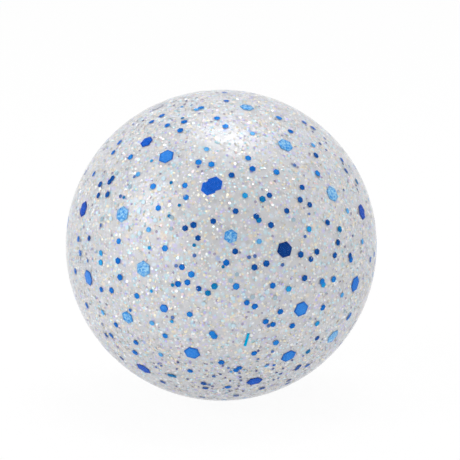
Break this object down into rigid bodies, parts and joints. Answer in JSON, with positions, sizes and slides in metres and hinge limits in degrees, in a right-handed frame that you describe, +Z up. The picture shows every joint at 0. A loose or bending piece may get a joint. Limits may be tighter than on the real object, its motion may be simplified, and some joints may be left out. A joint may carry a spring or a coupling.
{
  "type": "squishy ball",
  "caption": "Soft squeeze ball with a clear glossy rubber skin, a pearly gel filling and blue hexagon glitter flakes under the skin; it is pressed flat between fingers and springs back.",
  "frame": {"origin": "on the surface that the ball rests on, at the middle of its flat foot, straight below the ball's centre", "axes": "+Z up from the foot through the ball's centre; +X towards the fill plug; -Y front, with the show side turned 30 degrees to the left of it"},
  "size_m": [0.07, 0.07, 0.0693],
  "materials": {
    "clear_rubber": "clear glossy moulded thermoplastic rubber",
    "plug_rubber": "satin translucent thermoplastic rubber",
    "pearl_gel": "soft gel full of fine pearl glitter",
    "navy_film": "metallised film, navy",
    "royal_film": "metallised film, royal blue",
    "mid_film": "metallised film, bright blue",
    "pale_film": "metallised film, light blue",
    "cyan_film": "metallised film, cyan"
  },
  "bodies": {
    "ball": {"outer_skin": "clear_rubber", "gel_filling": "pearl_gel", "hexagon_flake_01": "navy_film", "hexagon_flake_02": "royal_film", "hexagon_flake_03": "royal_film", "hexagon_flake_04": "royal_film", "hexagon_flake_05": "royal_film", "hexagon_flake_06": "royal_film", "hexagon_flake_07": "royal_film", "hexagon_flake_08": "mid_film", "hexagon_flake_09": "mid_film", "hexagon_flake_10": "mid_film", "hexagon_flake_11": "mid_film", "hexagon_flake_12": "mid_film", "hexagon_flake_13": "mid_film", "hexagon_flake_14": "pale_film", "hexagon_flake_15": "pale_film", "hexagon_flake_16": "pale_film", "hexagon_flake_17": "pale_film", "hexagon_flake_18": "pale_film", "hexagon_flake_19": "pale_film", "hexagon_flake_20": "pale_film", "hexagon_flake_21": "pale_film", "hexagon_flake_22": "pale_film", "hexagon_flake_23": "mid_film", "hexagon_flake_24": "navy_film", "hexagon_flake_25": "pale_film", "hexagon_flake_26": "royal_film", "hexagon_flake_27": "mid_film", "hexagon_flake_28": "navy_film", "hexagon_flake_29": "pale_film", "hexagon_flake_30": "royal_film", "hexagon_flake_31": "mid_film", "hexagon_flake_32": "navy_film", "hexagon_flake_33": "pale_film", "hexagon_flake_34": "royal_film", "hexagon_flake_35": "mid_film", "hexagon_flake_36": "navy_film", "hexagon_flake_37": "pale_film", "hexagon_flake_38": "royal_film", "hexagon_flake_39": "mid_film", "hexagon_flake_40": "navy_film", "hexagon_flake_41": "pale_film", "hexagon_flake_42": "royal_film", "hexagon_flake_43": "mid_film", "hexagon_flake_44": "navy_film", "hexagon_flake_45": "pale_film", "under_hexagon_flake": "royal_film", "small_hexagon_flake": "mid_film", "strip_flake": "cyan_film"},
    "pressed_side": {"fill_plug": "plug_rubber"}
  },
  "joints": [
    {"name": "squeeze", "type": "slide", "parent": "ball", "child": "pressed_side", "axis": [-1, 0, 0], "range_m": [0, 0.026], "stiffness_N_per_m": 400, "deforming": ["outer_skin", "gel_filling"]}
  ]
}
